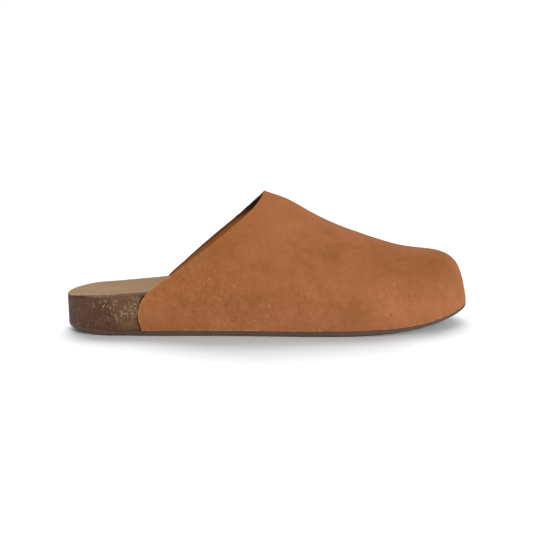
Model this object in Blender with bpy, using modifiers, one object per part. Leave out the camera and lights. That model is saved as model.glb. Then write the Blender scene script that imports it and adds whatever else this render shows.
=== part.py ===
"""Closed-toe suede clog for the right foot: outsole, cork midsole, insole and a one-piece hollow upper.

Sizes are in millimetres. Stations run along the foot from the back of the heel (0) towards the toe,
the lateral side is towards -Y and the medial side towards +Y. Every piece starts as a grid that a
function bends into place, and place() turns millimetres into the metres of the model's own frame,
whose origin is on the floor under the middle of the shoe.
"""

import math

import bmesh
import bpy
import numpy as np

MM = 0.001
LATERAL, MEDIAL = -1, 1

# Driving sizes
LENGTH = 267.5  # cork footbed, back of the heel to the tip of the toe
OUTSOLE = 3.5  # thickness of the sole sheet
OUTSOLE_TIP = 2.2  # and at the tip of the toe
INSOLE = 2.2  # thickness of the footbed's suede sock
WALL = 2.0  # thickness of the upper, suede and lining together
GAP = 0.3  # between pieces that are glued together
EDGE = 0.6  # broken edge of the sole pieces

# Plan of the cork footbed: distance from the long axis to each side, before the ends are rounded
PLAN = (
    "station lateral medial",
    (0, 33.5, 33.0),
    (35, 34.3, 33.4),
    (70, 35.6, 33.4),
    (100, 37.6, 33.4),
    (130, 41.2, 35.4),
    (160, 45.4, 40.6),
    (190, 48.4, 45.2),
    (215, 48.8, 46.6),
    (268, 45.0, 44.0),
)
HEEL_ROUND = 38.0  # length of the rounded heel end
HEEL_POWER = 2.35
TOE_CENTRE = 200.0  # station where the toe starts to round
TOE_POWER = 2.3
TIP_SIDE = 8.0  # how far the tip of the toe lies to the medial side
TIP_START = 150.0  # station where the axis starts to bend that way

# Sole from the side
TOE_SPRING = 10.6
SPRING_START = 150.0
SPRING_POWER = 3.6
HEEL_BEVEL = 4.3  # lift of the sole's back edge
BEVEL_LENGTH = 32.0
BEVEL_POWER = 1.8
FLARE = (38.0, 62.0)  # stations between which the sole sheet widens from the cork's edge to the upper's
THINNING = (195.0, 245.0)  # stations between which it thins towards the tip

# Heights over the sole's underside: the footbed at its edge and along its middle, and the top of the
# upper's upright wall. Tuck is how far the footbed's edge draws in under the curving toe; at the back
# it is negative, because the heel leans out towards its top.
FOOTBED = (
    "station rim floor wall tuck",
    (0, 20.7, 19.6, 21.0, -1.3),
    (14, 24.8, 22.1, 25.6, -0.6),
    (28, 26.6, 23.1, 27.6, 0.0),
    (53, 28.3, 23.4, 29.3, 0.0),
    (75, 29.3, 23.8, 30.2, 0.0),
    (105, 29.0, 24.0, 29.6, 0.0),
    (140, 25.8, 21.4, 25.4, 0.1),
    (180, 21.5, 17.6, 18.0, 0.6),
    (220, 18.0, 15.4, 12.0, 1.2),
    (268, 14.0, 13.6, 6.0, 1.4),
)
LOWER_LEAN = 0.75  # share of the heel's lean that the cork's lower edge has too
RIM_POWER = 4.0  # how late the footbed turns up to its edge
ARCH_RISE = 4.0  # extra height of the medial edge at the arch
ARCH_STATION = 105.0
ARCH_SPREAD = 30.0
CUP_RISE = 1.0  # extra height of the lateral edge round the heel
CUP_STATIONS = (0.0, 30.0, 55.0, 90.0)  # where that starts, is full, starts to fade and has gone
SPINE_HEEL = 36.0  # where the middle line of the sole pieces ends in the heel

# Upper: height of the ridge over the floor, how far the ridge lies to the medial side, and the two
# powers of the arch between wall and ridge. Behind the collar's peak the rows only shape its sides.
RIDGE = (
    "station height side across up",
    (40, 166.0, 1.0, 2.00, 1.50),
    (90, 124.0, 2.0, 2.00, 1.50),
    (134, 91.5, 3.0, 2.00, 1.50),
    (147, 86.6, 4.0, 2.00, 1.55),
    (160, 79.2, 4.8, 2.05, 1.65),
    (178, 69.1, 6.0, 2.20, 1.80),
    (200, 60.1, 6.5, 2.40, 1.95),
    (225, 51.2, 6.5, 2.40, 1.95),
    (237, 49.3, 6.5, 2.40, 1.95),
    (250, 48.7, 6.5, 2.40, 1.95),
    (272, 47.0, 6.5, 2.40, 1.95),
)
TOE_ACROSS = 9.0  # the two powers at the tip, where the toe is blunt
TOE_UP = 5.6
TOE_LEAN = 0.10  # share of its reach that the tip's front leans back
LEAN_POWER = 1.3  # how late up the front that lean comes

# Rear edge of the upper from the side: its rounded foot, then the slope up to the collar's peak, and how
# much further forward each side is cut. The two sides meet at the ridge.
COLLAR = (
    "height station lateral medial",
    (3.0, 52.7, 0.0, 2.5),
    (10.0, 50.4, 0.0, 2.5),
    (16.2, 50.1, 0.0, 3.4),
    (24.0, 53.0, 0.0, 6.0),
    (32.0, 60.1, 0.1, 6.6),
    (40.0, 71.2, 0.8, 4.7),
    (50.0, 84.0, 2.3, 3.2),
    (75.0, 116.6, 1.9, 0.5),
    (85.0, 127.4, 4.0, 0.6),
    (92.0, 134.6, 4.8, 1.0),
    (120.0, 160.0, 4.0, 1.0),
)
MEETING_POWER = 8  # how close under the ridge the two cuts come together
COLLAR_SEARCH = (38.0, 145.0)  # stations between which the edge is looked for

# Mesh fineness
AROUND = 72  # points round a sole piece
RINGS = (0.0, 0.3, 0.55, 0.75, 0.9)  # shares of the way from a sole piece's middle line to its edge
VAMP_RIBS = 16
TOE_RIBS = 28
WALL_LEVELS = 6
ARCH_LEVELS = 14
CROWDING = 1.8  # how much closer the levels get towards the ridge
BISECTIONS = 30
NUDGE = 1e-4  # share of the outline used to measure its direction
OUTLINE_STEPS = 400  # points at which the shoe's width is measured
WELD = 1e-6  # metres
SHARP = math.radians(40)  # edges sharper than this are shaded as edges


def smooth(table, name):
    """Natural cubic curve through one column of a table, over the table's first column."""
    columns = table[0].split()
    rows = np.array(table[1:], float)
    xs, ys = rows[:, 0], rows[:, columns.index(name)]
    steps = np.diff(xs)
    slopes = np.diff(ys) / steps
    system = np.eye(len(xs))
    bends = np.zeros(len(xs))
    for i in range(1, len(xs) - 1):
        system[i, i - 1 : i + 2] = steps[i - 1], 2 * (steps[i - 1] + steps[i]), steps[i]
        bends[i] = 6 * (slopes[i] - slopes[i - 1])
    bends = np.linalg.solve(system, bends)

    def value(x):
        i = int(np.clip(np.searchsorted(xs, x) - 1, 0, len(steps) - 1))
        before, after = x - xs[i], xs[i + 1] - x
        cubic = (bends[i] * after**3 + bends[i + 1] * before**3) / (6 * steps[i])
        start = (ys[i] / steps[i] - bends[i] * steps[i] / 6) * after
        end = (ys[i + 1] / steps[i] - bends[i + 1] * steps[i] / 6) * before
        return cubic + start + end

    return value


def ease(x, start, end):
    """0 before start, 1 after end, with a soft change between them."""
    share = min(1.0, max(0.0, (x - start) / (end - start)))
    return share * share * (3 - 2 * share)


lateral_half, medial_half = smooth(PLAN, "lateral"), smooth(PLAN, "medial")
rim_over, floor_over = smooth(FOOTBED, "rim"), smooth(FOOTBED, "floor")
wall_over, tuck = smooth(FOOTBED, "wall"), smooth(FOOTBED, "tuck")
ridge_height, ridge_side = smooth(RIDGE, "height"), smooth(RIDGE, "side")
across_power, up_power = smooth(RIDGE, "across"), smooth(RIDGE, "up")
collar_station = smooth(COLLAR, "station")
collar_cuts = {LATERAL: smooth(COLLAR, "lateral"), MEDIAL: smooth(COLLAR, "medial")}


def plan_edge(x, side):
    """Y of the cork footbed's edge at a station."""
    axis = TIP_SIDE * max(0.0, (x - TIP_START) / (LENGTH - TIP_START)) ** 2
    heel = max(0.0, 1 - x / HEEL_ROUND)
    toe = max(0.0, (x - TOE_CENTRE) / (LENGTH - TOE_CENTRE))
    heel_end = max(0.0, 1 - heel**HEEL_POWER) ** (1 / HEEL_POWER)
    toe_end = max(0.0, 1 - toe**TOE_POWER) ** (1 / TOE_POWER)
    half = lateral_half(x) if side == LATERAL else medial_half(x)
    return axis + side * half * heel_end * toe_end


def plan_point(turn):
    """Point of the footbed's edge: turn 0 is the heel, a quarter lateral, a half the tip, then medial."""
    x = LENGTH / 2 * (1 - math.cos(2 * math.pi * turn))
    return np.array((x, plan_edge(x, LATERAL if turn % 1 < 0.5 else MEDIAL)))


def outline(turn, out):
    """The footbed's edge moved outwards by a distance."""
    before, after = plan_point(turn - NUDGE), plan_point(turn + NUDGE)
    along = (after - before) / np.linalg.norm(after - before)
    return plan_point(turn) + out * np.array((along[1], -along[0]))


def side_edge(x, side, out):
    """Y of the edge at a station, moved outwards by a distance."""
    slope = (plan_edge(x + 1, side) - plan_edge(x - 1, side)) / 2
    return plan_edge(x, side) + side * out * math.hypot(1, slope)


def underside(x):
    """Height of the sole's underside: flat under heel and ball, lifted at the toe and the back edge."""
    spring = max(0.0, (x - SPRING_START) / (LENGTH - SPRING_START))
    bevel = max(0.0, 1 - x / BEVEL_LENGTH)
    return TOE_SPRING * spring**SPRING_POWER + HEEL_BEVEL * bevel**BEVEL_POWER


def sheet_over(x):
    """Height of the sole sheet's upper face."""
    return underside(x) + OUTSOLE + (OUTSOLE_TIP - OUTSOLE) * ease(x, *THINNING)


def lower_edge(x):
    """How far the cork's lower edge lies outside the plan: part of the heel's lean, none further on."""
    return LOWER_LEAN * max(0.0, -tuck(x))


def arch(x, side):
    """Extra height of the footbed's edge at the arch of the foot."""
    if side == LATERAL:
        return 0.0
    return ARCH_RISE * math.exp(-(((x - ARCH_STATION) / ARCH_SPREAD) ** 2))


def cup(x, side):
    """Extra height of the footbed's edge on the lateral side of the heel."""
    if side == MEDIAL:
        return 0.0
    start, full, fade, gone = CUP_STATIONS
    return CUP_RISE * ease(x, start, full) * (1 - ease(x, fade, gone))


def footbed(x, share, side):
    """Height of the insole's face, share being 0 on its middle line and 1 at its edge."""
    rise = (rim_over(x) - floor_over(x) + cup(x, side)) * share**RIM_POWER
    return underside(x) + floor_over(x) + rise + arch(x, side) * share**2


def place(x, y, z):
    """Millimetres along the foot to metres in the model's frame."""
    return (x - MIDDLE_X) * MM, (y - MIDDLE_Y) * MM, z * MM


OUTSIDE = GAP + WALL  # from the footbed's edge to the outer face of the upper
MIDDLE_X = (LENGTH + OUTSIDE + tuck(0)) / 2
WIDTHS = [outline(i / OUTLINE_STEPS, OUTSIDE)[1] for i in range(OUTLINE_STEPS)]
MIDDLE_Y = (min(WIDTHS) + max(WIDTHS)) / 2


def bent_grid(name, columns, rows, bend, collection):
    """A grid of columns by rows cells whose corners bend(column, row) moves into place, welded."""
    mesh = bmesh.new()
    bmesh.ops.create_grid(mesh, x_segments=columns, y_segments=rows, size=0.5)
    for vert in mesh.verts:
        column = round((vert.co.x + 0.5) * columns)
        row = round((vert.co.y + 0.5) * rows)
        vert.co = place(*bend(column, row))
    bmesh.ops.remove_doubles(mesh, verts=mesh.verts, dist=WELD)
    bmesh.ops.recalc_face_normals(mesh, faces=mesh.faces)
    data = bpy.data.meshes.new(name)
    mesh.to_mesh(data)
    mesh.free()
    data.shade_smooth()
    data.set_sharp_from_angle(angle=SHARP)
    part = bpy.data.objects.new(name, data)
    collection.objects.link(part)
    return part


def sole_layer(name, low, high, out_low, out_high, collection):
    """A closed layer of the sole between two faces low and high, each a height over (x, share, side).

    Its rings start on the middle line below, run out to the edge, up the side and back in above.
    """
    rings = [(share, low, out_low, 0.0, 0.0) for share in RINGS]
    rings += [(1.0, low, out_low, EDGE, 0.0), (1.0, low, out_low, 0.0, EDGE)]
    rings += [(1.0, high, out_high, 0.0, -EDGE), (1.0, high, out_high, EDGE, 0.0)]
    rings += [(share, high, out_high, 0.0, 0.0) for share in reversed(RINGS)]

    def bend(column, row):
        share, face, out, inset, lift = rings[row]
        turn = column / AROUND
        side = LATERAL if turn % 1 < 0.5 else MEDIAL
        edge_x = plan_point(turn)[0]
        edge = outline(turn, out(edge_x) - inset)
        spine_x = min(max(edge_x, SPINE_HEEL), TOE_CENTRE)
        spine = np.array((spine_x, (plan_edge(spine_x, LATERAL) + plan_edge(spine_x, MEDIAL)) / 2))
        x, y = spine + share * (edge - spine)
        return x, y, face(x, share, side) + lift

    return bent_grid(name, AROUND, len(rings) - 1, bend, collection)


def make_outsole(collection):
    """Sole sheet, flush with the bare cork at the heel and with the upper further forward."""

    def out(x):
        return lower_edge(x) + OUTSIDE * ease(x, *FLARE)

    return sole_layer(
        "outsole",
        lambda x, share, side: underside(x),
        lambda x, share, side: sheet_over(x),
        out,
        out,
        collection,
    )


def make_midsole(collection):
    """Cork block between the sole sheet and the insole."""
    return sole_layer(
        "midsole",
        lambda x, share, side: sheet_over(x) + GAP,
        lambda x, share, side: footbed(x, share, side) - INSOLE - GAP,
        lower_edge,
        lambda x: -tuck(x),
        collection,
    )


def make_insole(collection):
    """Suede sock that follows the footbed's heel cup and arch out to the edge of the cork."""
    return sole_layer(
        "insole",
        lambda x, share, side: footbed(x, share, side) - INSOLE,
        footbed,
        lambda x: -tuck(x),
        lambda x: -tuck(x),
        collection,
    )


def wall_height(x, side, share):
    """Height in the upper's upright wall, from its lower edge (share 0) to where it starts to curve (1)."""
    foot = sheet_over(x) + GAP
    return foot + share * (underside(x) + wall_over(x) + arch(x, side) - foot)


def rib_level(level):
    """(share of the wall, angle of the arch) of one level of a rib, from the lower edge to the ridge."""
    if level <= WALL_LEVELS:
        return level / WALL_LEVELS, 0.0
    below_ridge = 1 - (level - WALL_LEVELS) / ARCH_LEVELS
    return 1.0, math.pi / 2 * (1 - below_ridge**CROWDING)


def rib_height(x, side, wall, angle):
    """Height of a vamp rib at a station."""
    top = wall_height(x, side, wall)
    return top + (ridge_height(x) - top) * math.sin(angle) ** (2 / up_power(x))


def collar_edge(side, wall, angle):
    """Station where a level of the upper meets its rear edge, found by halving."""
    near, far = COLLAR_SEARCH
    apart = 1 - math.sin(angle) ** MEETING_POWER
    for _ in range(BISECTIONS):
        middle = (near + far) / 2
        height = rib_height(middle, side, wall, angle)
        if middle < collar_station(height) + apart * collar_cuts[side](height):
            near = middle
        else:
            far = middle
    return near


def vamp_point(side, share, wall, angle):
    """Point of the upper between its rear edge (share 0) and the start of the toe (1)."""
    start = collar_edge(side, wall, angle)
    x = start + share * (TOE_CENTRE - start)
    edge = side_edge(x, side, OUTSIDE)
    ridge = ridge_side(x)
    across = math.cos(angle) ** (2 / across_power(x))
    return x, ridge + across * (edge - ridge), rib_height(x, side, wall, angle)


def toe_point(turn, wall, angle):
    """Point of the toe, whose ribs fan out from the ridge's end to the outline."""
    side = LATERAL if turn < 0.5 else MEDIAL
    edge = outline(turn, OUTSIDE)
    centre = np.array((TOE_CENTRE, ridge_side(TOE_CENTRE)))
    forward = max(0.0, (plan_point(turn)[0] - TOE_CENTRE) / (LENGTH - TOE_CENTRE))
    across, up = across_power(TOE_CENTRE), up_power(TOE_CENTRE)
    across += (TOE_ACROSS - across) * forward**3
    up += (TOE_UP - up) * forward**3
    rise = math.sin(angle) ** (2 / up)
    reach = math.cos(angle) ** (2 / across) * (1 - TOE_LEAN * forward**2 * rise**LEAN_POWER)
    x, y = centre + reach * (edge - centre)
    top = wall_height(edge[0], side, wall)
    return x, y, top + (ridge_height(x) - top) * rise


def make_upper(collection):
    """Hollow upper: one open surface from the lateral rear edge round the toe to the medial rear edge."""
    toe_turn = math.acos(1 - 2 * TOE_CENTRE / LENGTH) / (2 * math.pi)
    ribs = 2 * VAMP_RIBS + TOE_RIBS

    def bend(column, row):
        wall, angle = rib_level(row)
        if column < VAMP_RIBS:
            return vamp_point(LATERAL, column / VAMP_RIBS, wall, angle)
        if column > VAMP_RIBS + TOE_RIBS:
            return vamp_point(MEDIAL, (ribs - column) / VAMP_RIBS, wall, angle)
        share = (column - VAMP_RIBS) / TOE_RIBS
        return toe_point(toe_turn + share * (1 - 2 * toe_turn), wall, angle)

    upper = bent_grid("upper", ribs, WALL_LEVELS + ARCH_LEVELS, bend, collection)
    shell = upper.modifiers.new("leather thickness", "SOLIDIFY")
    shell.thickness = WALL * MM
    shell.offset = -1
    shell.use_even_offset = True
    shell.use_quality_normals = True
    return upper


def finish(part, colour, roughness):
    """Gives a piece its own Principled material."""
    material = bpy.data.materials.new(part.name)
    material.use_nodes = True
    shader = material.node_tree.nodes["Principled BSDF"]
    shader.inputs["Base Color"].default_value = (*colour, 1)
    shader.inputs["Roughness"].default_value = roughness
    shader.inputs["Metallic"].default_value = 0.0
    part.data.materials.append(material)


def main():
    for thing in list(bpy.data.objects):
        bpy.data.objects.remove(thing)
    clog = bpy.data.collections.new("suede_clog")
    bpy.context.scene.collection.children.link(clog)
    finish(make_outsole(clog), colour=(0.110, 0.072, 0.055), roughness=0.75)
    finish(make_midsole(clog), colour=(0.125, 0.068, 0.045), roughness=0.85)
    finish(make_insole(clog), colour=(0.400, 0.270, 0.160), roughness=0.95)
    finish(make_upper(clog), colour=(0.390, 0.140, 0.052), roughness=0.95)


main()
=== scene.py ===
# %% [markdown]
# # Dressing a suede clog
#
# Four plain solids of a backless clog are already built: a sole sheet, a cork footbed, an insole and
# a hollow upper. In this lesson each of them keeps its place and its size. We remake its surface with
# a finer mesh, give it the finish of the real material, add the small things that repeat on it, and
# light it like a catalogue picture.

# %% Open the frame
import math

import bmesh
import bpy
import numpy as np
from mathutils import Matrix, Vector, noise
from mathutils.kdtree import KDTree


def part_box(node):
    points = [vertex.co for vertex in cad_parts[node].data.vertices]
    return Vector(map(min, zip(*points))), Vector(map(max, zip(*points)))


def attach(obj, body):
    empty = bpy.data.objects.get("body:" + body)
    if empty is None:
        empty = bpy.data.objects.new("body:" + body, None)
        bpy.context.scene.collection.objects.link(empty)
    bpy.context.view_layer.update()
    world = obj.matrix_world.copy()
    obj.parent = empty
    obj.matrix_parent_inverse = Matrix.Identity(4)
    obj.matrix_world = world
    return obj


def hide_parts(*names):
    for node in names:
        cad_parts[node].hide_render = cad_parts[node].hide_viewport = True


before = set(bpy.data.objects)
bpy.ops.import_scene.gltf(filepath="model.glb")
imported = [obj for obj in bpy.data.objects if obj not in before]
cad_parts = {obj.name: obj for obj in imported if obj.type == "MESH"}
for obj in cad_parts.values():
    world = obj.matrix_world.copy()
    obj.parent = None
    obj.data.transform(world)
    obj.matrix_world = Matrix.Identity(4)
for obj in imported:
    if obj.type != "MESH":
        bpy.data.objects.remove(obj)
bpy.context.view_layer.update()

print("solids:", ", ".join(sorted(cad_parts)))

# %% [markdown]
# ## The last
#
# A shoemaker works round a last, so that sole, insole and upper all follow the same few curves. We do
# the same: short tables give those curves at a few stations along the foot, in millimetres from the
# back of the heel, and a smooth curve runs through each column. The sizes are those of the solids, so
# that every finer surface lands where its solid is.

# %% Driving sizes, in millimetres
MM = 0.001
LATERAL, MEDIAL = -1, 1
LENGTH = 267.5  # cork footbed, back of the heel to the tip of the toe
OUTSOLE = 3.5  # thickness of the sole sheet
OUTSOLE_TIP = 2.2  # and at the tip of the toe
INSOLE = 2.2  # thickness of the footbed's suede sock
WALL = 2.0  # thickness of the upper
GAP = 0.3  # glue line between upper and cork
OUTSIDE = GAP + WALL  # from the footbed's edge to the outer face of the upper
print("the upper's outer face lies", OUTSIDE, "mm outside the footbed's edge")

# %% Plan and footbed
PLAN = (
    "station lateral medial",  # half widths
    (0, 33.5, 33.0),
    (35, 34.3, 33.4),
    (70, 35.6, 33.4),
    (100, 37.6, 33.4),
    (130, 41.2, 35.4),
    (160, 45.4, 40.6),
    (190, 48.4, 45.2),
    (215, 48.8, 46.6),
    (268, 45.0, 44.0),
)
FOOTBED = (
    "station rim floor wall tuck",  # heights of edge, middle and upright wall; how far the top is drawn in
    (0, 20.7, 19.6, 21.0, -1.3),
    (14, 24.8, 22.1, 25.6, -0.6),
    (28, 26.6, 23.1, 27.6, 0.0),
    (53, 28.3, 23.4, 29.3, 0.0),
    (75, 29.3, 23.8, 30.2, 0.0),
    (105, 29.0, 24.0, 29.6, 0.0),
    (140, 25.8, 21.4, 25.4, 0.1),
    (180, 21.5, 17.6, 18.0, 0.6),
    (220, 18.0, 15.4, 12.0, 1.2),
    (268, 14.0, 13.6, 6.0, 1.4),
)
print("tables of the sole:", len(PLAN) - 1, "and", len(FOOTBED) - 1, "stations")

# %% Ridge and collar
RIDGE = (
    "station height side across up",  # where the ridge runs, and two powers of the arch below it
    (40, 166.0, 1.0, 2.00, 1.50),
    (90, 124.0, 2.0, 2.00, 1.50),
    (134, 91.5, 3.0, 2.00, 1.50),
    (147, 86.6, 4.0, 2.00, 1.55),
    (160, 79.2, 4.8, 2.05, 1.65),
    (178, 69.1, 6.0, 2.20, 1.80),
    (200, 60.1, 6.5, 2.40, 1.95),
    (225, 51.2, 6.5, 2.40, 1.95),
    (237, 49.3, 6.5, 2.40, 1.95),
    (250, 48.7, 6.5, 2.40, 1.95),
    (272, 47.0, 6.5, 2.40, 1.95),
)
COLLAR = (
    "height station lateral medial",  # the rear edge, and how much further forward each side is cut
    (3.0, 52.7, 0.0, 2.5),
    (10.0, 50.4, 0.0, 2.5),
    (16.2, 50.1, 0.0, 3.4),
    (24.0, 53.0, 0.0, 6.0),
    (32.0, 60.1, 0.1, 6.6),
    (40.0, 71.2, 0.8, 4.7),
    (50.0, 84.0, 2.3, 3.2),
    (75.0, 116.6, 1.9, 0.5),
    (85.0, 127.4, 4.0, 0.6),
    (92.0, 134.6, 4.8, 1.0),
    (120.0, 160.0, 4.0, 1.0),
)
print("tables of the upper:", len(RIDGE) - 1, "and", len(COLLAR) - 1, "rows")

# %% Curves through the tables
def curve_through(table, name):
    """Natural cubic curve through one column of a table, over its first column."""
    columns = table[0].split()
    rows = np.array(table[1:], float)
    xs, ys = rows[:, 0], rows[:, columns.index(name)]
    steps = np.diff(xs)
    slopes = np.diff(ys) / steps
    system = np.eye(len(xs))
    bends = np.zeros(len(xs))
    for i in range(1, len(xs) - 1):
        system[i, i - 1 : i + 2] = steps[i - 1], 2 * (steps[i - 1] + steps[i]), steps[i]
        bends[i] = 6 * (slopes[i] - slopes[i - 1])
    bends = np.linalg.solve(system, bends)

    def value(x):
        i = np.clip(np.searchsorted(xs, x) - 1, 0, len(steps) - 1)
        before, after = x - xs[i], xs[i + 1] - x
        cubic = (bends[i] * after**3 + bends[i + 1] * before**3) / (6 * steps[i])
        start = (ys[i] / steps[i] - bends[i] * steps[i] / 6) * after
        end = (ys[i + 1] / steps[i] - bends[i + 1] * steps[i] / 6) * before
        return cubic + start + end

    return value


lateral_half, medial_half = curve_through(PLAN, "lateral"), curve_through(PLAN, "medial")
rim_over, floor_over = curve_through(FOOTBED, "rim"), curve_through(FOOTBED, "floor")
wall_over, tuck = curve_through(FOOTBED, "wall"), curve_through(FOOTBED, "tuck")
ridge_height, ridge_side = curve_through(RIDGE, "height"), curve_through(RIDGE, "side")
across_power, up_power = curve_through(RIDGE, "across"), curve_through(RIDGE, "up")
collar_station = curve_through(COLLAR, "station")
collar_cuts = {LATERAL: curve_through(COLLAR, "lateral"), MEDIAL: curve_through(COLLAR, "medial")}
print("ridge at the ball of the foot:", round(float(ridge_height(190.0)), 1), "mm over the floor")

# %% [markdown]
# ## The outline of the footbed
#
# Seen from above, the footbed is two side curves with a round heel and a rounder, slightly inward
# toe. A superellipse closes both ends, so no arc has to be fitted to the sides. One number, the turn,
# walks round the outline: 0 at the heel, a quarter on the lateral side, a half at the tip.

# %% Outline of the footbed from above
HEEL_ROUND = 38.0  # length of the rounded heel end
HEEL_POWER = 2.35
TOE_CENTRE = 200.0  # station where the toe starts to round
TOE_POWER = 2.3
TIP_SIDE = 8.0  # how far the tip of the toe lies to the medial side
TIP_START = 150.0  # station where the axis starts to bend that way
NUDGE = 1e-4  # share of the outline used to measure its direction
OUTLINE_STEPS = 400  # points at which the shoe's width is measured


def plan_edge(x, side):
    """Y of the footbed's edge at a station."""
    axis = TIP_SIDE * np.maximum(0, (x - TIP_START) / (LENGTH - TIP_START)) ** 2
    heel = np.maximum(0, 1 - x / HEEL_ROUND)
    toe = np.maximum(0, (x - TOE_CENTRE) / (LENGTH - TOE_CENTRE))
    heel_end = np.maximum(0, 1 - heel**HEEL_POWER) ** (1 / HEEL_POWER)
    toe_end = np.maximum(0, 1 - toe**TOE_POWER) ** (1 / TOE_POWER)
    half = np.where(side == LATERAL, lateral_half(x), medial_half(x))
    return axis + side * half * heel_end * toe_end


def side_of(turn):
    """Which side of the foot a turn lies on."""
    return np.where(turn % 1 < 0.5, LATERAL, MEDIAL)


def plan_point(turn):
    """Point of the footbed's edge at a turn."""
    x = LENGTH / 2 * (1 - np.cos(2 * np.pi * turn))
    return np.stack([x, plan_edge(x, side_of(turn))], axis=-1)


def outline(turn, out):
    """The footbed's edge moved outwards by a distance."""
    along = plan_point(turn + NUDGE) - plan_point(turn - NUDGE)
    along = along / np.linalg.norm(along, axis=-1, keepdims=True)
    across = np.stack([along[..., 1], -along[..., 0]], axis=-1)
    return plan_point(turn) + np.asarray(out)[..., None] * across


widths = outline(np.arange(OUTLINE_STEPS) / OUTLINE_STEPS, OUTSIDE)[:, 1]
MIDDLE_X = (LENGTH + OUTSIDE + float(tuck(0.0))) / 2  # the frame's origin lies half way along the shoe
MIDDLE_Y = (widths.min() + widths.max()) / 2  # and half way between its sides
print("width over the upper:", round(float(widths.max() - widths.min()), 1), "mm")

# %% [markdown]
# ## The sole from the side
#
# The underside is flat under heel and ball, springs up at the toe and has a short bevel at the back.
# The footbed over it is a shallow cup whose rim rises round the heel and at the arch. These heights
# are functions of the station, so that each layer of the sole can be stacked on the one below.

# %% Underside, arch and heel cup
TOE_SPRING = 10.6
SPRING_START = 150.0
SPRING_POWER = 3.6
HEEL_BEVEL = 4.3  # lift of the sole's back edge
BEVEL_LENGTH = 32.0
BEVEL_POWER = 1.8
ARCH_RISE = 4.0  # extra height of the medial edge at the arch
ARCH_STATION = 105.0
ARCH_SPREAD = 30.0
CUP_RISE = 1.0  # extra height of the lateral edge round the heel
CUP_STATIONS = (0.0, 30.0, 55.0, 90.0)  # where that starts, is full, starts to ebb and has gone


def ease(x, start, end):
    """0 before start, 1 after end, with a soft change between them."""
    share = np.clip((x - start) / (end - start), 0, 1)
    return share * share * (3 - 2 * share)


def fade(distance, width):
    """1 at no distance, falling softly to nearly nothing at twice a width."""
    return np.exp(-((distance / width) ** 2))


def underside(x):
    """Height of the sole's underside over the floor."""
    spring = np.maximum(0, (x - SPRING_START) / (LENGTH - SPRING_START))
    bevel = np.maximum(0, 1 - x / BEVEL_LENGTH)
    return TOE_SPRING * spring**SPRING_POWER + HEEL_BEVEL * bevel**BEVEL_POWER


def arch(x, side):
    """Extra height of the footbed's edge at the arch of the foot."""
    rise = ARCH_RISE * fade(x - ARCH_STATION, ARCH_SPREAD)
    return np.where(side == LATERAL, 0.0, rise)


def cup(x, side):
    """Extra height of the footbed's edge on the lateral side of the heel."""
    start, full, ebb, gone = CUP_STATIONS
    rise = CUP_RISE * ease(x, start, full) * (1 - ease(x, ebb, gone))
    return np.where(side == LATERAL, rise, 0.0)


print("toe lifts off the floor by", round(float(underside(LENGTH)), 1), "mm")

# %% Heights of the layers
SPINE_HEEL = 36.0  # station where the middle line of the sole pieces ends in the heel
RIM_POWER = 4.0  # how late the footbed turns up to its edge
THINNING = (195.0, 245.0)  # stations between which the sole sheet thins towards the tip


def footbed(x, share, side):
    """Height of the insole's face, share being 0 on its middle line and 1 at its edge."""
    rise = (rim_over(x) - floor_over(x) + cup(x, side)) * share**RIM_POWER
    return underside(x) + floor_over(x) + rise + arch(x, side) * share**2


def sheet_top(x, share, side):
    """Height of the sole sheet's upper face."""
    return underside(x) + OUTSOLE + (OUTSOLE_TIP - OUTSOLE) * ease(x, *THINNING)


def sheet_low(x, share, side):
    """Height of the sole sheet's underside."""
    return underside(x)


def cork_top(x, share, side):
    """Height of the cork under the insole."""
    return footbed(x, share, side) - INSOLE


print("insole at the middle of the heel:", round(float(footbed(SPINE_HEEL, 0.0, LATERAL)), 1), "mm up")

# %% [markdown]
# ## From points to a mesh
#
# Every piece of this shoe is a sheet or a closed skin that can be unrolled into rows and columns, so
# one helper turns a grid of points into a mesh: quads between the points, doubles merged where rows
# close on themselves, normals made to agree. The points come in the shoe's millimetres, and the mesh
# is in the metres of the frame.

# %% Grid helpers
WELD = 1e-6  # metres
MIDDLE = np.array((MIDDLE_X, MIDDLE_Y, 0.0))


def grid_mesh(name, points):
    """Mesh through points, an array of rows by columns by (station, y, height)."""
    rows, columns = points.shape[:2]
    index = np.arange(rows * columns).reshape(rows, columns)
    quads = np.stack([index[:-1, :-1], index[:-1, 1:], index[1:, 1:], index[1:, :-1]], axis=-1)
    data = bpy.data.meshes.new(name)
    data.from_pydata(((points.reshape(-1, 3) - MIDDLE) * MM).tolist(), [], quads.reshape(-1, 4).tolist())
    mesh = bmesh.new()
    mesh.from_mesh(data)
    bmesh.ops.remove_doubles(mesh, verts=mesh.verts, dist=WELD)
    bmesh.ops.recalc_face_normals(mesh, faces=mesh.faces)
    mesh.to_mesh(data)
    mesh.free()
    data.shade_smooth()
    return data


def new_piece(name, data):
    """Object of the scene with a mesh, a light or a camera."""
    piece = bpy.data.objects.new(name, data)
    bpy.context.scene.collection.objects.link(piece)
    return piece


def grid_piece(name, points):
    """Object with a mesh through points."""
    return new_piece(name, grid_mesh(name, points))


print("the frame's origin lies", round(MIDDLE_X, 1), "mm from the back of the heel")

# %% [markdown]
# ## Writing shaders and scatter trees as sums
#
# Node trees are easier to read as expressions than as a list of links. A small class wraps a socket:
# sums and products of wrapped sockets add Math nodes, and one method adds any other node, with its
# settings first and then its values or links. The same class serves materials and Geometry Nodes.

# %% The wire class
def find(sockets, key):
    """A node's socket by its number, identifier or name."""
    if isinstance(key, int):
        return sockets[key]
    return next(socket for socket in sockets if key in (socket.identifier, socket.name))


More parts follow.
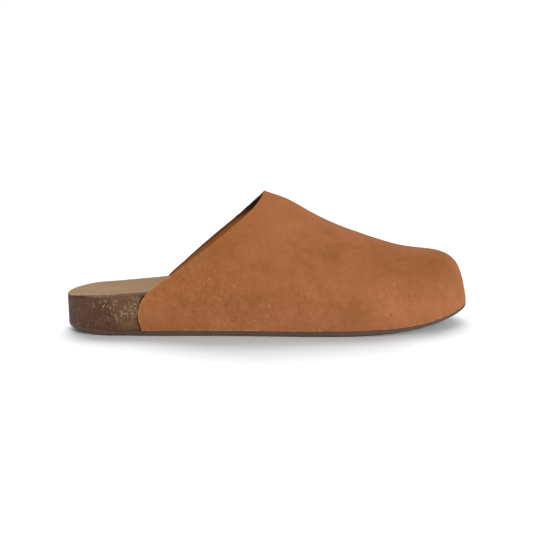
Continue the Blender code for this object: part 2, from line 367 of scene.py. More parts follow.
class Wire:
    """An output socket that can be used in sums, and from which further nodes are added."""

    def __init__(self, socket):
        self.socket = socket

    def node(self, kind, settings, values, output=0):
        """Adds a node of a kind, with its settings and its sockets' values or links."""
        made = self.socket.id_data.nodes.new(kind)
        for name, setting in settings.items():
            setattr(made, name, setting)
        for name, value in values.items():
            plug(made, name, value)
        return Wire(find(made.outputs, output))

    def also(self, output):
        """Another output of the same node."""
        return Wire(find(self.socket.node.outputs, output))

    def sum(self, operation, first, second):
        """A Math node."""
        return self.node("ShaderNodeMath", {"operation": operation}, {"Value": first, "Value_001": second})

    def __add__(self, other):
        return self.sum("ADD", self, other)

    def __radd__(self, other):
        return self.sum("ADD", other, self)

    def __sub__(self, other):
        return self.sum("SUBTRACT", self, other)

    def __rsub__(self, other):
        return self.sum("SUBTRACT", other, self)

    def __mul__(self, other):
        return self.sum("MULTIPLY", self, other)

    def __rmul__(self, other):
        return self.sum("MULTIPLY", other, self)


def plug(node, name, value):
    """Sets a node's input, or links it if the value is a wire."""
    socket = find(node.inputs, name)
    if isinstance(value, Wire):
        socket.id_data.links.new(value.socket, socket)
    else:
        socket.default_value = value


# %% [markdown]
# ## Building blocks of the finishes
#
# All the materials here are dull and fibrous, so they share a few blocks: clouds of noise measured in
# millimetres, a soft threshold that turns a cloud into specks, and a mix between two colours. Colours
# are written as they look on a screen, from 0 to 255, and turned into the linear values of a shader.
# What is the same all over, such as sheen, is set straight on the shader's sockets.

# %% Blocks for materials
METRE = 1000.0  # millimetres
GRAIN, FINE_GRAIN, FINEST_GRAIN = 2.0, 3.0, 4.0  # how much finer noise a cloud has in it


def screen(red, green, blue):
    """A colour as it looks on a screen, as linear values for a shader."""
    shares = [value / 255 for value in (red, green, blue)]
    linear = [((share + 0.055) / 1.055) ** 2.4 if share > 0.04045 else share / 12.92 for share in shares]
    return (*linear, 1.0)


def new_finish(name, constants):
    """A material with constants on its shader: returns it, its shader and a wire of object coordinates."""
    material = bpy.data.materials.new(name)
    material.use_nodes = True
    shader = material.node_tree.nodes["Principled BSDF"]
    for socket, value in constants.items():
        plug(shader, socket, value)
    place = Wire(material.node_tree.nodes.new("ShaderNodeTexCoord").outputs["Object"])
    return material, shader, place


def cloud(place, size, grain=GRAIN, curl=0.0):
    """Noise from about -0.5 to 0.5 whose lumps have a size in millimetres."""
    values = {"Vector": place, "Scale": METRE / size, "Detail": grain, "Distortion": curl}
    return place.node("ShaderNodeTexNoise", {}, values, "Fac") - 0.5


def mottled(place, clouds, start=0.5):
    """A tone that clouds of (size, grain, weight) make uneven."""
    return sum((cloud(place, size, grain) * weight for size, grain, weight in clouds), start)


def over(signal, start, end):
    """0 where a signal is before start, 1 where it is past end, soft between them."""
    values = {"Value": signal, "From Min": start, "From Max": end}
    return signal.node("ShaderNodeMapRange", {"interpolation_type": "SMOOTHSTEP"}, values, "Result")


def between(mask, first, second):
    """A mix of two colours, the second one where the mask is 1."""
    values = {"Factor_Float": mask, "A_Color": first, "B_Color": second}
    return mask.node("ShaderNodeMix", {"data_type": "RGBA"}, values, "Result_Color")


def stored(place, name):
    """The number that was noted on a mesh under a name."""
    return place.node("ShaderNodeAttribute", {"attribute_name": name}, {}, "Fac")


def raise_surface(shader, height, strength, depth):
    """Feeds a height signal to a shader's normal, for relief of a depth in millimetres."""
    values = {"Height": height, "Strength": strength, "Distance": depth * MM}
    plug(shader, "Normal", height.node("ShaderNodeBump", {}, values))


print("half bright on a screen is", round(screen(128, 128, 128)[0], 2), "in a shader")

# %% [markdown]
# ## Suede
#
# Suede is the flesh side of leather, brushed into a short nap. It has no gloss, but the nap lies in
# patches that catch the light differently. Small dark pores lie all over it, and in speckled places
# single fibres show as light crumbs and dark pits, drawn out into short curls. Hairs would be finer
# than a pixel, so the nap is a mix of clouds at several scales with a fine bump and a little sheen.
# The recipe reads three numbers that can be noted on a mesh: patches of the nap's tone mixed with painted
# light and shade, how speckled it is, and where an edge gets a painted highlight. On a mesh without such
# a note they are zero.

# %% The suede recipe
NAP_CLOUDS = ((30.0, 0.35), (11.0, 0.5), (4.5, 0.45), (1.2, 0.14))  # size in millimetres, weight
NAP_CURL = 0.4  # how far clouds and pores are drawn out
SPECKLED_CLOUDS = ((3.0, 0.7), (1.7, 0.72))  # as the nap's clouds, only where it is speckled
SPECK_CURL = 1.2  # how far crumbs and pits are drawn out
SPECK_SIZE = 1.9
SPECK_RARITY = (0.135, 0.23)  # none below the first value of their noise, full past the second
CLUSTER_SIZE = 8.0
CLUSTER_EDGE = (-0.1, 0.1)
PIT_SHADE = 0.5  # of the dark tone
PORE_SIZE = 1.5
PORE_RARITY = (0.2, 0.29)
PORE_STRENGTH = 0.8
NAP_BUMP = ((1.6, 0.5), (0.7, 0.5))
# a painted highlight along noted edges, mixed to the crumbs' light colour
EDGE_HIGHLIGHT_SIZE = 2.2
EDGE_HIGHLIGHT_RAGGED = 2.4  # how far noise breaks up the painted edge highlight
EDGE_HIGHLIGHT_RARITY = (0.5, 1.0)
EDGE_HIGHLIGHT_STRENGTH = 0.7


def suede(name, dark, light, crumb, sheen=0.1):
    """A napped leather between a dark and a light tone, with crumbs and pits where it is speckled, and
    painted light, shade and edge highlights where they are noted.
    """
    constants = {
        "Roughness": 0.95,
        "Specular IOR Level": 0.15,
        "Sheen Weight": sheen,
        "Sheen Roughness": 0.6,
        "Sheen Tint": light,
    }
    material, shader, place = new_finish(name, constants)
    speckled = stored(place, "speckled")
    # noted patches: partly the nap's own tone, partly painted light and shade
    tone = 0.5 + stored(place, "nap_and_painted_light")
    for size, weight in NAP_CLOUDS:
        tone = tone + cloud(place, size, FINE_GRAIN, NAP_CURL) * weight
    for size, weight in SPECKLED_CLOUDS:
        tone = tone + cloud(place, size, GRAIN, SPECK_CURL) * speckled * weight
    specks = cloud(place, SPECK_SIZE, GRAIN, SPECK_CURL)
    clustered = speckled * over(cloud(place, CLUSTER_SIZE), *CLUSTER_EDGE)
    crumbs = over(specks, *SPECK_RARITY) * clustered
    pores = over(cloud(place, PORE_SIZE, GRAIN, NAP_CURL), *PORE_RARITY) * PORE_STRENGTH
    pits = pores.sum("MAXIMUM", pores, over(0.0 - specks, *SPECK_RARITY) * clustered)
    # a painted highlight where an edge is noted, as if it caught the light
    ragged = stored(place, "painted_edge_highlight") + cloud(place, EDGE_HIGHLIGHT_SIZE) * EDGE_HIGHLIGHT_RAGGED
    painted_edge_highlight = over(ragged, *EDGE_HIGHLIGHT_RARITY) * EDGE_HIGHLIGHT_STRENGTH
    pit = (*(PIT_SHADE * value for value in dark[:3]), 1.0)
    colour = between(pits, between(tone, dark, light), pit)
    plug(shader, "Base Color", between(crumbs.sum("MAXIMUM", crumbs, painted_edge_highlight), colour, crumb))
    relief = sum(cloud(place, size, FINE_GRAIN) * weight for size, weight in NAP_BUMP)
    raise_surface(shader, relief, strength=0.35, depth=0.4)
    return material


# %% [markdown]
# The same recipe, with other colours, serves all that is napped: the tan face of the upper, its brown
# cut edge, the pale fibres that stand out of that edge, and the beige insole.

# %% Four suedes
tan_suede = suede("tan suede", screen(140, 84, 38), screen(184, 117, 77), screen(202, 142, 97), 0.05)
cut_edge = suede("cut edge", screen(70, 47, 29), screen(112, 78, 50), screen(160, 114, 76))
loose_fibre = suede("loose fibre", screen(150, 100, 62), screen(198, 144, 102), screen(210, 160, 120))
beige_suede = suede("beige suede", screen(149, 119, 90), screen(175, 145, 115), screen(190, 162, 134))
print("suede finishes:", [made.name for made in (tan_suede, cut_edge, loose_fibre, beige_suede)])

# %% [markdown]
# The inside of the upper is the same hide from its other side, smoother and browner. Painted light
# makes it paler low down, and painted shade darkens it with height to nearly black under the ridge. A
# dark line follows the cut edge, where the mesh will carry a note of its distance.

# %% The inside of the upper
INSIDE_CLOUDS = ((14.0, GRAIN, 0.8), (1.5, FINE_GRAIN, 0.5))  # size, grain, weight
PAINTED_SHADE_HEIGHTS = (67.0, 80.0)  # painted shade: darker over the first, darkest over the second
PAINTED_LIGHT_HEIGHTS = (56.0, 38.0)  # painted light: paler under the first, palest under the second
CUT_LINE_STRENGTH = 0.85
INSIDE_BUMP = 1.2


def height_of(place):
    """Millimetres over the floor."""
    return place.node("ShaderNodeSeparateXYZ", {}, {"Vector": place}, "Z") * METRE


def inside_finish():
    """Smooth brown hide, painted paler low down and nearly black with painted shade under the ridge, and
    dark along the cut.
    """
    constants = {"Roughness": 0.9, "Specular IOR Level": 0.2}
    material, shader, place = new_finish("inside of the upper", constants)
    tone = mottled(place, INSIDE_CLOUDS)
    # painted light and shade: a paler tone low down, a nearly black one under the ridge
    pale = between(tone, screen(176, 111, 57), screen(206, 138, 78))
    middle = between(tone, screen(160, 97, 46), screen(192, 124, 64))
    dark = between(tone, screen(46, 22, 8), screen(68, 37, 17))
    height = height_of(place)
    colour = between(over(height, *PAINTED_LIGHT_HEIGHTS), middle, pale)
    colour = between(over(height, *PAINTED_SHADE_HEIGHTS), colour, dark)
    plug(shader, "Base Color", between(stored(place, "cut") * CUT_LINE_STRENGTH, colour, screen(50, 29, 15)))
    raise_surface(shader, cloud(place, INSIDE_BUMP, FINE_GRAIN), strength=0.25, depth=0.3)
    return material


inside = inside_finish()
print(inside.name, "has", len(inside.node_tree.nodes), "nodes")

# %% [markdown]
# ## The upper
#
# The upper is one piece of suede pulled over the toe of the last and open behind. Each of its ribs
# rises straight from the sole, then arches over to the ridge. Ribs of the vamp start on the slanting
# rear edge, and ribs of the toe fan out from the end of the ridge. A subdivided cage would round off
# the crisp rear edge, so the ribs are worked out directly and only the wall's thickness is a modifier.

# %% Levels of a rib
SEAT = 0.05  # how far the upper's lower edge stays over the sole sheet


def wall_height(x, side, share):
    """Height in the upper's upright wall, from its lower edge (share 0) to where it starts to curve (1)."""
    foot = sheet_top(x, 1.0, side) + SEAT
    return foot + share * (underside(x) + wall_over(x) + arch(x, side) - foot)


def rib_height(x, side, wall, angle):
    """Height of a vamp rib at a station."""
    top = wall_height(x, side, wall)
    return top + (ridge_height(x) - top) * np.sin(angle) ** (2 / up_power(x))


print("toe's front starts", round(float(wall_height(LENGTH, LATERAL, 0.0)), 1), "mm over the floor")

# %% The rear edge
MEETING_POWER = 8  # how close under the ridge the cuts of the two sides come together
COLLAR_SEARCH = (38.0, 145.0)  # stations between which the edge is looked for
BISECTIONS = 30
WAVER = ((1.1, 0.09), (2.7, 0.05))  # waves of the hand-cut edge: turns by height, and depth


def collar_edge(side, wall, angle):
    """Station where each level of the upper meets its rear edge, found by halving."""
    near, far = (np.full(wall.shape, station) for station in COLLAR_SEARCH)
    apart = 1 - np.sin(angle) ** MEETING_POWER
    for _ in range(BISECTIONS):
        middle = (near + far) / 2
        height = rib_height(middle, side, wall, angle)
        behind = middle < collar_station(height) + apart * collar_cuts[side](height)
        near, far = np.where(behind, middle, near), np.where(behind, far, middle)
    waver = sum(depth * np.sin(pace * height + side) for pace, depth in WAVER)
    return near + apart * waver


lowest = collar_edge(LATERAL, np.zeros(1), np.zeros(1))
print("the rear edge meets the sole", round(float(lowest[0])), "mm from the back of the heel")

# %% Points of the vamp and of the toe
TOE_ACROSS, TOE_UP = 9.0, 5.6  # the two powers at the tip, where the toe is blunt
BLUNT_POWER = 3  # how late they come in towards the tip
TOE_LEAN = 0.10  # share of its reach that the tip's front leans back
LEAN_POWER = 1.3  # how late up the front that lean comes


def vamp(side, shares, wall, angle):
    """Levels by ribs of points between the rear edge (share 0) and the start of the toe (1)."""
    start = collar_edge(side, wall, angle)
    x = start + shares * (TOE_CENTRE - start)
    slope = (plan_edge(x + 1, side) - plan_edge(x - 1, side)) / 2
    edge = plan_edge(x, side) + side * OUTSIDE * np.hypot(1, slope)
    across = np.cos(angle) ** (2 / across_power(x))
    y = ridge_side(x) + across * (edge - ridge_side(x))
    return np.stack([x, y, rib_height(x, side, wall, angle)], axis=-1)


def toe(turns, wall, angle):
    """Levels by ribs of points of the toe, whose ribs fan out from the ridge's end."""
    edge = outline(turns, OUTSIDE)
    centre = np.array((TOE_CENTRE, ridge_side(TOE_CENTRE)))
    forward = np.maximum(0, (plan_point(turns)[:, 0] - TOE_CENTRE) / (LENGTH - TOE_CENTRE))
    across, up = across_power(TOE_CENTRE), up_power(TOE_CENTRE)
    across = across + (TOE_ACROSS - across) * forward**BLUNT_POWER
    up = up + (TOE_UP - up) * forward**BLUNT_POWER
    rise = np.sin(angle) ** (2 / up)
    reach = np.cos(angle) ** (2 / across) * (1 - TOE_LEAN * forward**2 * rise**LEAN_POWER)
    plan = centre + reach[..., None] * (edge - centre)
    top = wall_height(edge[:, 0], side_of(turns), wall)
    height = top + (ridge_height(plan[..., 0]) - top) * rise
    return np.concatenate([plan, height[..., None]], axis=-1)


# %% Ribs of the whole upper
VAMP_RIBS = 110
TOE_RIBS = 140
WALL_LEVELS = 14
ARCH_LEVELS = 56
CROWDING = 1.8  # how much closer the levels get towards the ridge

wall_share = np.concatenate([np.arange(WALL_LEVELS) / WALL_LEVELS, np.ones(ARCH_LEVELS + 1)])[:, None]
below_ridge = np.concatenate([np.ones(WALL_LEVELS), np.linspace(1, 0, ARCH_LEVELS + 1)])[:, None]
arch_angle = np.pi / 2 * (1 - below_ridge**CROWDING)
vamp_shares = np.arange(VAMP_RIBS) / VAMP_RIBS
toe_turn = math.acos(1 - 2 * TOE_CENTRE / LENGTH) / (2 * math.pi)
toe_turns = np.linspace(toe_turn, 1 - toe_turn, TOE_RIBS + 1)
ribs = [
    vamp(LATERAL, vamp_shares, wall_share, arch_angle),
    toe(toe_turns, wall_share, arch_angle),
    vamp(MEDIAL, vamp_shares[::-1], wall_share, arch_angle),
]
upper = grid_piece("suede_upper", np.concatenate(ribs, axis=1))
print("upper:", len(upper.data.polygons), "quads before it gets its thickness")

# %% [markdown]
# Leather is never quite even, and a smooth mesh looks moulded. Slow noise pushes the surface in and out
# by a fraction of a millimetre.

# %% Unevenness
UNEVEN = ((34.0, 0.30), (13.0, 0.10))  # size of the waves and their height


def corners_of(piece):
    """(positions in the shoe's millimetres, normals) of a mesh's corners."""
    places = np.empty(len(piece.data.vertices) * 3)
    normals = np.empty(len(piece.data.vertices) * 3)
    piece.data.vertices.foreach_get("co", places)
    piece.data.vertex_normals.foreach_get("vector", normals)
    return places.reshape(-1, 3) / MM + MIDDLE, normals.reshape(-1, 3)


def ripple(places, size, seed):
    """Smooth noise between about -1 and 1 at each place, with waves of a size in millimetres."""
    return np.array([noise.noise(Vector(place / size) + Vector((seed, 0, 0))) for place in places])


def push(piece, distance):
    """Moves each corner of a mesh along its normal by a distance in millimetres."""
    places, normals = corners_of(piece)
    moved = (places + normals * distance[:, None] - MIDDLE) * MM
    piece.data.vertices.foreach_set("co", moved.ravel())
    piece.data.update()


places, _ = corners_of(upper)
waves = sum(height * ripple(places, size, size) for size, height in UNEVEN)
push(upper, waves)
print(f"unevenness: {waves.min():.2f} to {waves.max():.2f} mm")

# %% [markdown]
# Darker and lighter patches lie on the suede: partly where its nap lies one way or the other, partly
# painted light and shade, such as the darker top of the toe and a darker back. They are placed one by one,
# in the shoe's own sizes, and noted on the mesh, where the material reads them. Painted light also makes
# the suede lighter towards the sole, against the shade near the floor.

# %% Patches of nap and of painted light and shade
# patches partly of the nap, partly painted light and shade
NAP_AND_PAINTED_LIGHT = (
    "station height radius tone",
    (232, 46, 17, -0.22),
    (205, 51, 15, -0.08),
    (190, 45, 11, -0.06),
    (251, 44, 11, -0.18),
    (171, 47, 20, -0.09),
    (186, 34, 15, 0.12),
    (213, 19, 14, 0.32),
    (250, 27, 17, 0.08),
    (196, 14, 12, -0.28),
    (163, 30, 9, 0.14),
    (121, 14, 13, -0.05),
    (96, 24, 14, -0.10),
    (106, 57, 18, -0.26),
    (82, 40, 10, -0.10),
    (140, 68, 22, 0.10),
    (60, 22, 9, 0.10),
    (138, 50, 13, -0.10),
    (178, 52, 9, -0.15),
    (120, 63, 11, -0.12),
    (184, 14, 8, -0.12),
    (108, 45, 9, 0.09),
    (138, 12, 10, 0.08),
    (210, 42, 10, -0.12),
    (215, 6, 7, -0.12),
    (83, 20, 7, -0.10),
    (134, 42, 7, -0.08),
    (134, 13, 6, -0.08),
    (72, 20, 9, 0.07),
)
HEM_PAINTED_LIGHT_HEIGHTS = (24.0, 6.0)  # painted light: lighter under the first, most under the second
HEM_PAINTED_LIGHT_STATIONS = (55.0, 110.0)  # no painted light behind the first
HEM_PAINTED_LIGHT = 0.24


def patches(table, along, across):
    """Sum of soft round patches, each placed by the first two columns and as strong as the last one."""
    total = np.zeros(len(across))
    for station, place, radius, strength in table[1:]:
        total += strength * fade(np.hypot(along - station, across - place), radius)
    return total


def note(piece, name, values):
    """Stores one number for each corner of a mesh, for its material or its scattered details."""
    attribute = piece.data.attributes.new(name, "FLOAT", "POINT")
    attribute.data.foreach_set("value", values)


over_sole = places[:, 2] - underside(places[:, 0])
# painted light towards the sole, against the shade near the floor
hem_painted_light = HEM_PAINTED_LIGHT * ease(over_sole, *HEM_PAINTED_LIGHT_HEIGHTS) * ease(places[:, 0], *HEM_PAINTED_LIGHT_STATIONS)
note(upper, "nap_and_painted_light", patches(NAP_AND_PAINTED_LIGHT, places[:, 0], places[:, 2]) + hem_painted_light)
print("brushed patches:", len(NAP_AND_PAINTED_LIGHT) - 1)

# %% [markdown]
# Crumbs and pits come in a few places of the lower half, while the instep is nearly free of them. A
# second note says how speckled each place is.

# %% Speckled patches
SPECKLED = (
    "station height radius amount",
    (92, 29, 26, 0.90),
    (115, 12, 15, 0.50),
    (144, 11, 22, 0.80),
    (165, 30, 17, 0.50),
    (186, 24, 13, 0.30),
    (220, 20, 18, 1.00),
    (58, 26, 9, 0.60),
)
FEW_SPECKS = 0.12

note(upper, "speckled", FEW_SPECKS + patches(SPECKLED, places[:, 0], places[:, 2]))
print("speckled patches:", len(SPECKLED) - 1)

# %% [markdown]
# A painted highlight runs along the slanting rear edge, as if it caught the light, and along the hem
# over the sole sheet, but less. Inside, a dark line follows the cut. All three fade with the distance
# from a line of points, and a k-d tree finds the nearest of them quickly.

# %% Painted edge highlights and the dark line inside
EDGE_HIGHLIGHT_WIDTH = 1.2
EDGE_HIGHLIGHT_HEIGHTS = (62.0, 30.0)  # dimmer highlight over the first, brightest under the second
BRIGHTEST_EDGE, DIMMER_EDGE = 0.95, 0.5
HEM_HIGHLIGHT = 0.72
HEM_HIGHLIGHT_PEAK = (118.0, 26.0, 0.35)  # station where the hem's painted highlight is brightest, how far that spreads, how much more
CUT_LINE = ((2.4, 0.55), (0.9, 0.45))  # widths of the dark line inside, and how dark


def distance_to(line, places):
    """How far each place lies from the nearest point of a line."""
    tree = KDTree(len(line))
    for index, point in enumerate(line):
        tree.insert(point, index)
    tree.balance()
    return np.array([tree.find(place)[2] for place in places])


rear_edge = np.concatenate([ribs[0][:, 0], ribs[-1][:, -1]])
hem = np.concatenate([rib[0] for rib in ribs])
from_cut, from_hem = distance_to(rear_edge, places), distance_to(hem, places)
# painted highlight along the rear edge and the hem, brightest low on the rear edge
edge_highlight_strength = DIMMER_EDGE + (BRIGHTEST_EDGE - DIMMER_EDGE) * ease(places[:, 2], *EDGE_HIGHLIGHT_HEIGHTS)
peak_station, peak_spread, crumbs = HEM_HIGHLIGHT_PEAK
hem_light = HEM_HIGHLIGHT + crumbs * fade(places[:, 0] - peak_station, peak_spread)
note(upper, "painted_edge_highlight", np.maximum(edge_highlight_strength * fade(from_cut, EDGE_HIGHLIGHT_WIDTH), hem_light * fade(from_hem, EDGE_HIGHLIGHT_WIDTH)))
note(upper, "cut", sum(amount * fade(from_cut, width) for width, amount in CUT_LINE))
print("rear edge:", round(float(np.linalg.norm(np.diff(ribs[0][:, 0], axis=0), axis=1).sum())), "mm a side")

# %% [markdown]
# So far the upper is a sheet without thickness. Solidify gives it the thickness of the leather, inwards,
# with a material of its own for the inside and for the cut, and a small bevel softens the cut. A helper
# applies both for good, because a finished piece is kept as a plain mesh.

# %% Thickness and cut edges
CUT_ROUNDING = 0.3  # how far the cut edges are softened
CUT_SEGMENTS = 2
CUT_ANGLE = math.radians(50)
INSIDE_SLOT, CUT_SLOT = 1, 2  # places of the inside and of the cut among the upper's materials


def flatten(piece):
    """Keeps what a piece's modifiers make as its plain mesh, and removes them."""
    evaluated = piece.evaluated_get(bpy.context.evaluated_depsgraph_get())
    data = bpy.data.meshes.new_from_object(evaluated)
    piece.modifiers.clear()
    piece.data = data


def report(piece, node):
    """Prints a piece's size and how far its box lies from the box of its solid."""
    places = (corners_of(piece)[0] - MIDDLE) * MM
    off = np.abs(np.array([places.min(0), places.max(0)]) - np.array(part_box(node))).max() / MM
    piece.data.calc_loop_triangles()
    print(f"{piece.name}: {len(piece.data.loop_triangles)} triangles, box within {off:.2f} mm of its solid")


for finish in (tan_suede, inside, cut_edge):
    upper.data.materials.append(finish)
thickness = upper.modifiers.new("leather thickness", "SOLIDIFY")
thickness.thickness = WALL * MM
thickness.offset = -1
thickness.material_offset = INSIDE_SLOT
thickness.material_offset_rim = CUT_SLOT
softening = upper.modifiers.new("softened cut", "BEVEL")
softening.width = CUT_ROUNDING * MM
softening.segments = CUT_SEGMENTS
softening.limit_method = "ANGLE"
softening.angle_limit = CUT_ANGLE
flatten(upper)
report(upper, "upper")

# %% [markdown]
# ## The layers of the sole
#
# Sole sheet, cork and insole are cut to nearly the same outline, so one helper makes a ring of points
# at a share of the way from the middle line to the edge. A layer is a stack of rings: out along its
# lower face, up its side and back along its upper face.

# %% Rings of a sole layer
def ring(turns, share, face, out, inset=0.0, lift=0.0):
    """Points round the sole at a share of the way to an edge that is moved out and then in again."""
    edge_x = plan_point(turns)[:, 0]
    edge = outline(turns, out(edge_x) - inset)
    spine_x = np.clip(edge_x, SPINE_HEEL, TOE_CENTRE)
    spine_y = (plan_edge(spine_x, LATERAL) + plan_edge(spine_x, MEDIAL)) / 2
    spine = np.stack([spine_x, spine_y], axis=-1)
    plan = spine + share * (edge - spine)
    height = face(plan[:, 0], share, side_of(turns)) + lift
    return np.concatenate([plan, height[:, None]], axis=-1)


def climb(low, high, steps):
    """Rings between two rings, without the two themselves."""
    return [low + (high - low) * step / steps for step in range(1, steps)]


# %% Edges of the cork
LOWER_LEAN = 0.75  # share of the heel's lean that the cork's lower edge has too


def flush(x):
    """The cork's lower edge, which leans out at the heel like its upper edge, but less."""
    return LOWER_LEAN * np.maximum(0, -tuck(x))


def tucked(x):
    """The cork's upper edge, drawn in under the curving toe and leaning out at the heel."""
    return -tuck(x)


print("cork leans out by", round(float(tucked(0.0)), 1), "mm at the back of the heel")

# %% [markdown]
# ## Cork footbed
#
# The block is pressed from cork granules and a dark binder, so its bare side at the heel is dark
# brown, faintly granular and pitted. Cells of a Voronoi texture give each granule its own tone, the
# grey of a random colour, and a second texture marks the seams between them. Painted shade makes the
# back greyer and darker, where the heel rounds away. The block turns lighter and warmer where the upper
# starts, and a dark line follows the upper's rear edge: painted shadow of the upper's step, with some
# dried glue.

# %% The cork finish
GRANULE = 3.2
GRANULE_TONES = 0.6  # how much the granules differ
WOBBLE_SIZE, WOBBLE_REACH = 2.0, 1.2  # waves in their outlines
CORK_CLOUDS = ((12.0, GRAIN, 0.5), (1.0, FINE_GRAIN, 0.6))  # size, grain, weight
CORK_START = 0.2  # tone without clouds and granules
SEAM_WIDTH = 0.12  # in granules
SEAM_STRENGTH = 0.45
SHADED_BACK_STATIONS = (14.0, 0.0)  # painted shade: greyer and darker behind the first, all grey at the second
WARM_STATIONS = (28.0, 37.0)  # warmer past the first, all warm past the second
WARM_LEAN = 0.37  # the warm part starts further back towards the top
WARM_MIDDLE = 18.0  # height at which those stations hold
BORDER_SIZE, BORDER_REACH = 7.0, 16.0  # lumps in the border of the warm part
SHADOW_LINE_SIZE, SHADOW_LINE_RAGGED = 2.5, 0.5  # lumps in the painted shadow line
SHADOW_LINE_RARITY = (0.25, 0.7)
SHADOW_LINE_STRENGTH = 0.9
CORK_BUMP = (1.2, 0.2, 0.4)  # size of the grain, width of the grooves at the seams and their share


def station_of(place):
    """Millimetres along the foot, from the back of the heel."""
    return place.node("ShaderNodeSeparateXYZ", {}, {"Vector": place}, "X") * METRE + MIDDLE_X


def wobble(place):
    """A small random shift, so that granules have uneven outlines."""
    values = {"Vector": place, "Scale": METRE / WOBBLE_SIZE}
    shift = place.node("ShaderNodeTexNoise", {}, values, "Color")
    scaled = {"Vector": shift, "Scale": WOBBLE_REACH * MM}
    return place.node("ShaderNodeVectorMath", {"operation": "SCALE"}, scaled)


def cork_finish():
    """Dark granular cork, greyer and darker at the back with painted shade, and warmer towards the upper's
    rear edge.
    """
    material, shader, place = new_finish("pressed cork", {"Roughness": 0.88, "Specular IOR Level": 0.25})
    bent = place.node("ShaderNodeVectorMath", {"operation": "ADD"}, {0: place, 1: wobble(place)})
    cells = {"Vector": bent, "Scale": METRE / GRANULE}
    granules = place.node("ShaderNodeTexVoronoi", {}, cells, "Color") * GRANULE_TONES
    seam = place.node("ShaderNodeTexVoronoi", {"feature": "DISTANCE_TO_EDGE"}, cells, "Distance")
    tone = mottled(place, CORK_CLOUDS, granules + CORK_START)
    station = station_of(place)
    cool = between(tone, screen(83, 55, 42), screen(103, 70, 53))
    # painted shade at the back of the heel, where it rounds away
    shaded_grey = between(tone, screen(69, 54, 47), screen(88, 70, 61))
    warm = between(tone, screen(92, 65, 45), screen(135, 101, 72))
    colour = between(over(station, *SHADED_BACK_STATIONS), cool, shaded_grey)
    slanted = station + (height_of(place) - WARM_MIDDLE) * WARM_LEAN
    border = slanted + cloud(place, BORDER_SIZE) * BORDER_REACH
    colour = between(over(border, *WARM_STATIONS), colour, warm)
    in_seam = SEAM_STRENGTH - SEAM_STRENGTH * over(seam, 0.0, SEAM_WIDTH)
    colour = between(in_seam, colour, screen(68, 47, 37))
    # painted shadow of the upper's step, with some dried glue, along its rear edge
    shadow_and_glue = over(stored(place, "shadow_and_glue") + cloud(place, SHADOW_LINE_SIZE) * SHADOW_LINE_RAGGED, *SHADOW_LINE_RARITY)
    plug(shader, "Base Color", between(shadow_and_glue * SHADOW_LINE_STRENGTH, colour, screen(48, 28, 12)))
    grain_size, groove_width, groove_share = CORK_BUMP
    grooves = over(seam, 0.0, groove_width) * groove_share
    raise_surface(shader, cloud(place, grain_size, FINEST_GRAIN) + grooves, strength=0.4, depth=0.3)
    return material


pressed_cork = cork_finish()
print(pressed_cork.name, "has", len(pressed_cork.node_tree.nodes), "nodes")

# %% The cork block
CORK_TURNS = np.linspace(0, 1, 721)
CORK_SHARES = (0.0, 0.4, 0.7, 0.9)
CORK_SIDE_STEPS = 26
CORK_PITS = ((2.4, 0.10), (0.9, 0.05))  # size of the pits and their depth
UPRIGHT = 0.5  # a face belongs to the side of a layer if its normal rises less than this

low = [ring(CORK_TURNS, share, sheet_top, flush) for share in (*CORK_SHARES, 1.0)]
high = [ring(CORK_TURNS, share, cork_top, tucked) for share in (1.0, *reversed(CORK_SHARES))]
cork = grid_piece("cork_midsole", np.stack([*low, *climb(low[-1], high[0], CORK_SIDE_STEPS), *high]))
places, normals = corners_of(cork)
upright = np.abs(normals[:, 2]) < UPRIGHT
push(cork, sum(height * ripple(places, size, size) for size, height in CORK_PITS) * upright)
cork.data.materials.append(pressed_cork)
report(cork, "midsole")

# %% [markdown]
# Where the upper ends, its step would throw a thin shadow on the cork, and a little glue dried dark
# there: a painted shadow line stands for both. It is a note on the block again, by the distance from the
# upper's rear edge as one sees it from the side.

# %% The painted shadow line
SHADOW_LINE_WIDTH = 1.6
THIN_SHADOW_LINE = 0.5  # how much fainter the line is in its middle
SHADOW_LINE_MIDDLE = (16.0, 6.0)  # height of that middle, and how far it spreads

from_the_side = np.array((1.0, 0.0, 1.0))
to_lateral = distance_to(ribs[0][:, 0] * from_the_side, places * from_the_side)
to_medial = distance_to(ribs[-1][:, -1] * from_the_side, places * from_the_side)
middle_height, middle_spread = SHADOW_LINE_MIDDLE
thin = THIN_SHADOW_LINE * fade(places[:, 2] - middle_height, middle_spread)
# painted shadow, fainter half way up the upper's rear edge
shadow_and_glue = (1 - thin) * fade(np.where(places[:, 1] < 0, to_lateral, to_medial), SHADOW_LINE_WIDTH)
note(cork, "shadow_and_glue", shadow_and_glue)
print("corners of the cork in the glue line:", int((shadow_and_glue > THIN_SHADOW_LINE).sum()))

# %% [markdown]
# ## Insole
#
# The insole is a sock of beige suede glued to the cork. Its face follows the heel cup, and its cut
# edge shows as a thin brown strip above the cork. Face and edge get two materials: a face of the mesh
# belongs to the edge where it stands upright or lies on the rounding.

# %% The insole
INSOLE_TURNS = np.linspace(0, 1, 361)
INSOLE_SHARES = (0.0, 0.15, 0.3, 0.45, 0.6, 0.7, 0.78, 0.85, 0.9, 0.95)
INSOLE_ROUNDING = 0.5
INSOLE_SIDE_STEPS = 3


def rounded(turns, face, out, radius, steps=3, up=1):
    """Rings over a rounded edge, from the side of the layer on to its face (up 1) or under it (-1)."""
    rings = []
    for step in range(steps + 1):
        angle = math.pi / 2 * step / steps
        inset, drop = radius * (1 - math.cos(angle)), radius * (1 - math.sin(angle))
        rings.append(ring(turns, 1.0, face, out, inset, -up * drop))
    return rings


